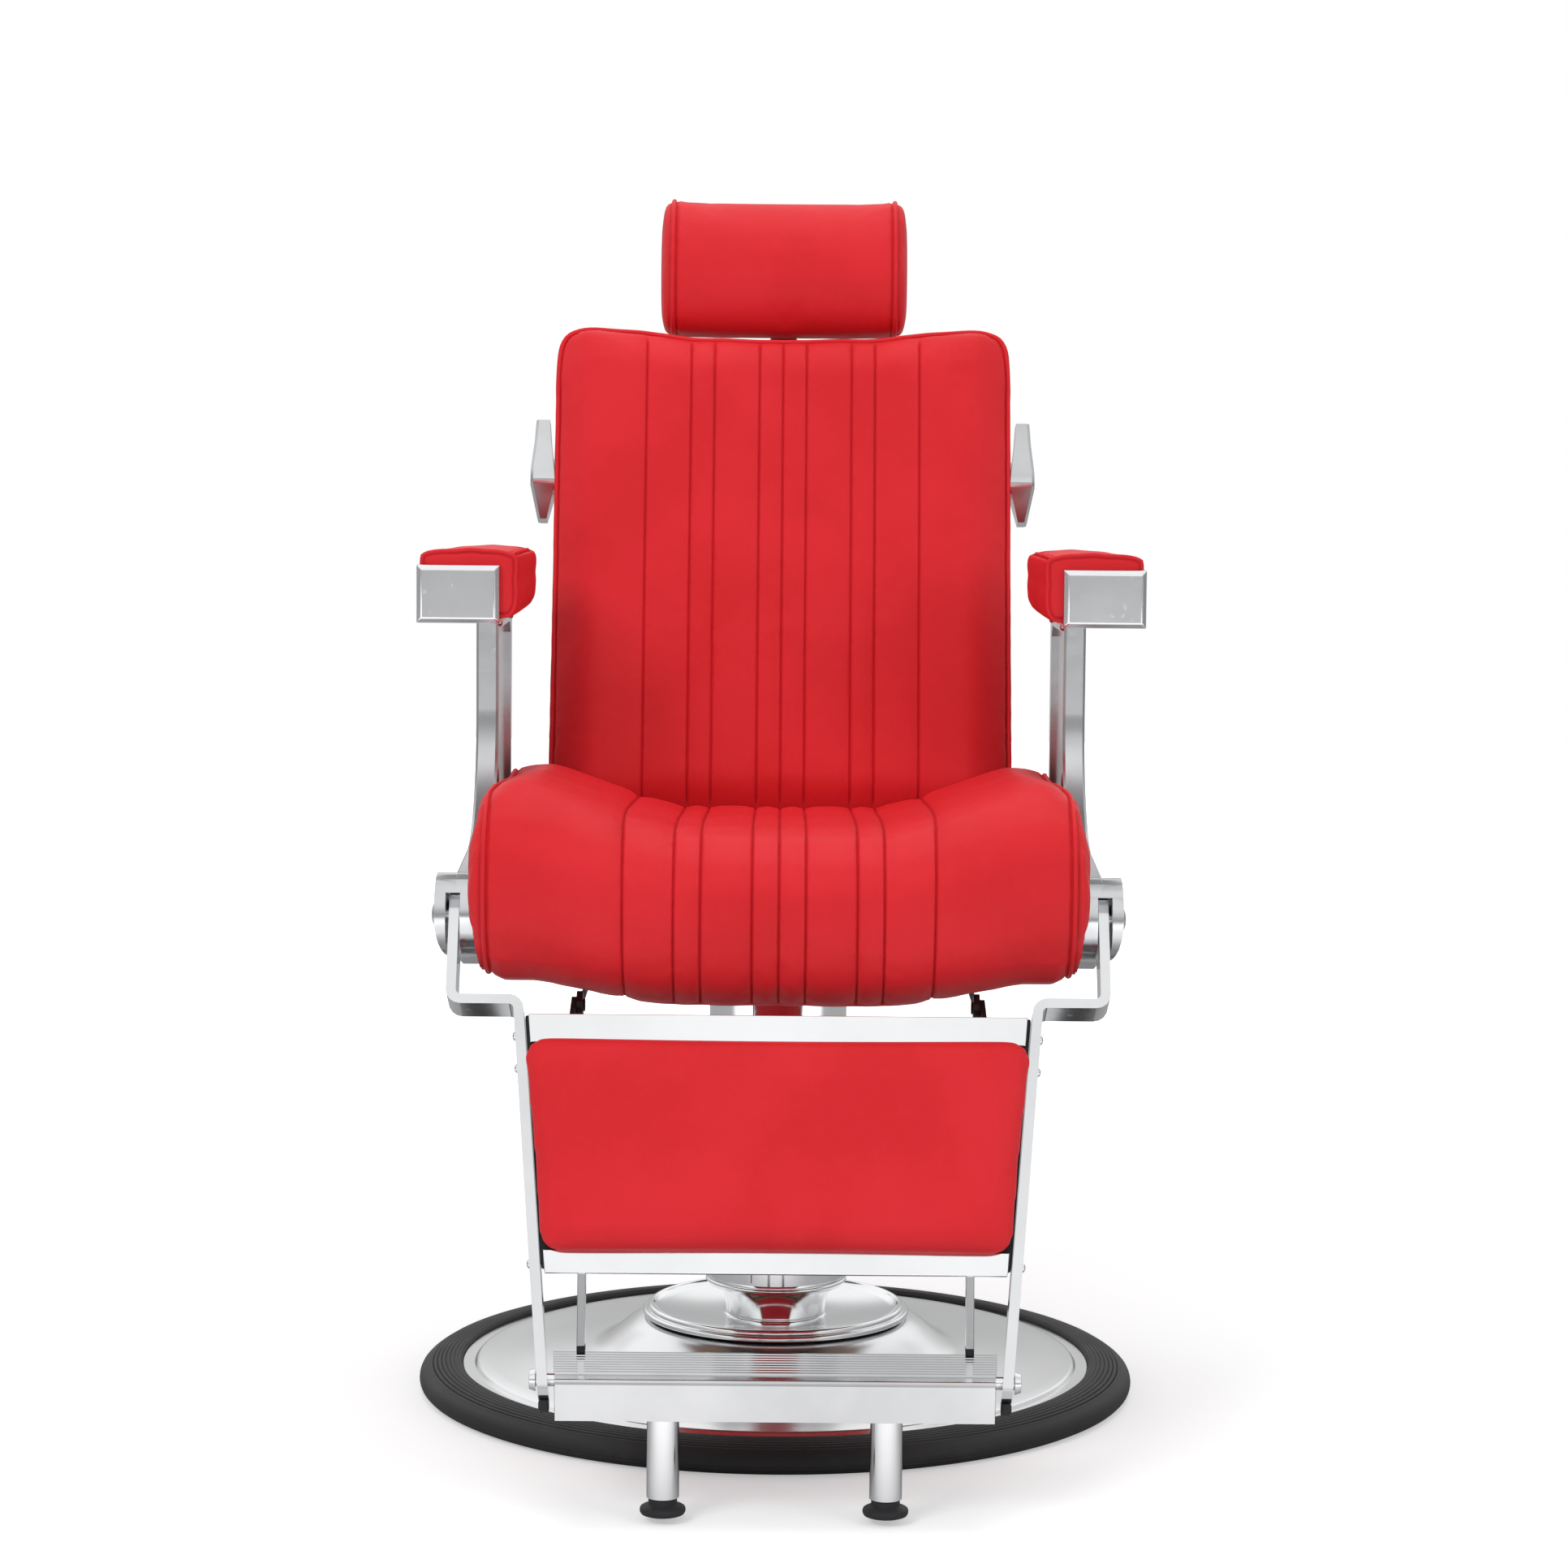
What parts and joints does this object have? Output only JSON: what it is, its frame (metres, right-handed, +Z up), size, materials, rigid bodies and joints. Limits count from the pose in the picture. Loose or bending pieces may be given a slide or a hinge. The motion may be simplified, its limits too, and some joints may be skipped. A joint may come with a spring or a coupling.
{
  "type": "barber chair",
  "caption": "Hydraulic barber chair with round base, pump column, red padded seat, reclining back, sliding headrest, cast arms and a linked legrest with folding footrest.",
  "frame": {"origin": "middle of the base's underside, on the floor", "axes": "+Z up, -Y to the sitter's front, +X to the sitter's left; stored at the lowest seat height with the back upright"},
  "size_m": [0.721, 0.9543, 1.2119],
  "materials": {
    "upholstery": "semi-gloss vinyl",
    "chrome": "mirror polished",
    "polished_steel": "polished",
    "black_rubber": "matte",
    "black_steel": "satin",
    "cast_iron": "painted",
    "plywood": "sealed",
    "black_vinyl": "matte"
  },
  "bodies": {
    "base": {"base_ring": "black_rubber", "base_plate": "cast_iron", "base_cover": "chrome", "pump_cylinder": "polished_steel", "column_collar": "chrome", "pedal_bracket": "black_steel"},
    "pedal": {"pedal_arm": "chrome", "pedal_pad": "black_rubber"},
    "lift": {"piston_rod": "polished_steel"},
    "seat": {"column_shroud": "chrome", "mount_plate": "black_steel", "seat_frame": "black_steel", "seat_pan": "plywood", "seat_cushion": "upholstery", "arm_frame_l": "chrome", "arm_frame_r": "chrome", "arm_tray_l": "chrome", "arm_tray_r": "chrome", "arm_pad_l": "upholstery", "arm_pad_r": "upholstery", "hinge_shaft": "polished_steel", "pivot_pin_l": "chrome", "pivot_pin_r": "chrome", "lock_cylinder": "black_steel"},
    "release": {"recline_lever": "chrome", "recline_grip": "black_rubber"},
    "back": {"back_bracket_l": "black_steel", "back_bracket_r": "black_steel", "back_tie": "polished_steel", "back_panel": "upholstery", "back_cushion": "upholstery", "back_handle_l": "chrome", "back_handle_r": "chrome", "headrest_socket": "chrome"},
    "link_l": {"link_rod_l": "black_steel"},
    "link_r": {"link_rod_r": "black_steel"},
    "lock_rod": {"lock_rod": "polished_steel"},
    "headrest": {"headrest_bar": "chrome", "headrest_cushion": "upholstery"},
    "legrest": {"side_bar_l": "chrome", "side_bar_r": "chrome", "legrest_board": "black_vinyl", "legrest_pad": "upholstery", "top_strip": "chrome", "bottom_strip": "chrome", "legrest_lever_l": "black_steel", "legrest_lever_r": "black_steel", "strut_l": "chrome", "strut_r": "chrome", "strut_tip_l": "black_rubber", "strut_tip_r": "black_rubber", "bar_bumper_l": "black_rubber", "bar_bumper_r": "black_rubber", "footrest_shaft": "chrome"},
    "footrest": {"footrest_tread": "chrome", "footrest_leg_l": "chrome", "footrest_leg_r": "chrome", "footrest_foot_l": "black_rubber", "footrest_foot_r": "black_rubber"}
  },
  "joints": [
    {"name": "lift_slide", "type": "slide", "parent": "base", "child": "lift", "axis": [0, 0, 1], "range_m": [0, 0.16]},
    {"name": "seat_swivel", "type": "hinge", "parent": "lift", "child": "seat", "pos_m": [0, 0, 0.4], "axis": [0, 0, 1], "continuous": true},
    {"name": "recline_hinge", "type": "hinge", "parent": "seat", "child": "back", "pos_m": [0, 0.2, 0.508], "axis": [-1, 0, 0], "range_deg": [0, 55]},
    {"name": "legrest_hinge", "type": "hinge", "parent": "seat", "child": "legrest", "pos_m": [0, -0.24, 0.508], "axis": [-1, 0, 0], "range_deg": [0, 55]},
    {"name": "link_hinge_l", "type": "hinge", "parent": "back", "child": "link_l", "pos_m": [-0.19, 0.24848, 0.41486], "axis": [-1, 0, 0], "range_deg": [-55, 0]},
    {"name": "link_hinge_r", "type": "hinge", "parent": "back", "child": "link_r", "pos_m": [0.19, 0.24848, 0.41486], "axis": [-1, 0, 0], "range_deg": [-55, 0]},
    {"name": "lock_slide", "type": "slide", "parent": "seat", "child": "lock_rod", "axis": [0, -1, 0], "range_m": [0, 0.097]},
    {"name": "headrest_slide", "type": "slide", "parent": "back", "child": "headrest", "axis": [0, 0.2588, 0.9659], "range_m": [0, 0.165]},
    {"name": "footrest_hinge", "type": "hinge", "parent": "legrest", "child": "footrest", "pos_m": [0, -0.45123, 0.11406], "axis": [-1, 0, 0], "range_deg": [0, 90]},
    {"name": "release_hinge", "type": "hinge", "parent": "seat", "child": "release", "pos_m": [-0.256, 0.12, 0.4366], "axis": [1, 0, 0], "range_deg": [0, 20], "stiffness_Nm_per_rad": 2, "springref_deg": -11.46},
    {"name": "pedal_hinge", "type": "hinge", "parent": "base", "child": "pedal", "pos_m": [0, 0.172, 0.074], "axis": [-1, 0, 0], "range_deg": [0, 12], "stiffness_Nm_per_rad": 12, "springref_deg": -17.19}
  ],
  "couplings": [
    {"joint": "legrest_hinge", "follows": "recline_hinge", "ratio": 1},
    {"joint": "link_hinge_l", "follows": "recline_hinge", "ratio": -1},
    {"joint": "link_hinge_r", "follows": "recline_hinge", "ratio": -1},
    {"joint": "lock_slide", "follows": "recline_hinge", "m_per_rad": 0.10094}
  ]
}
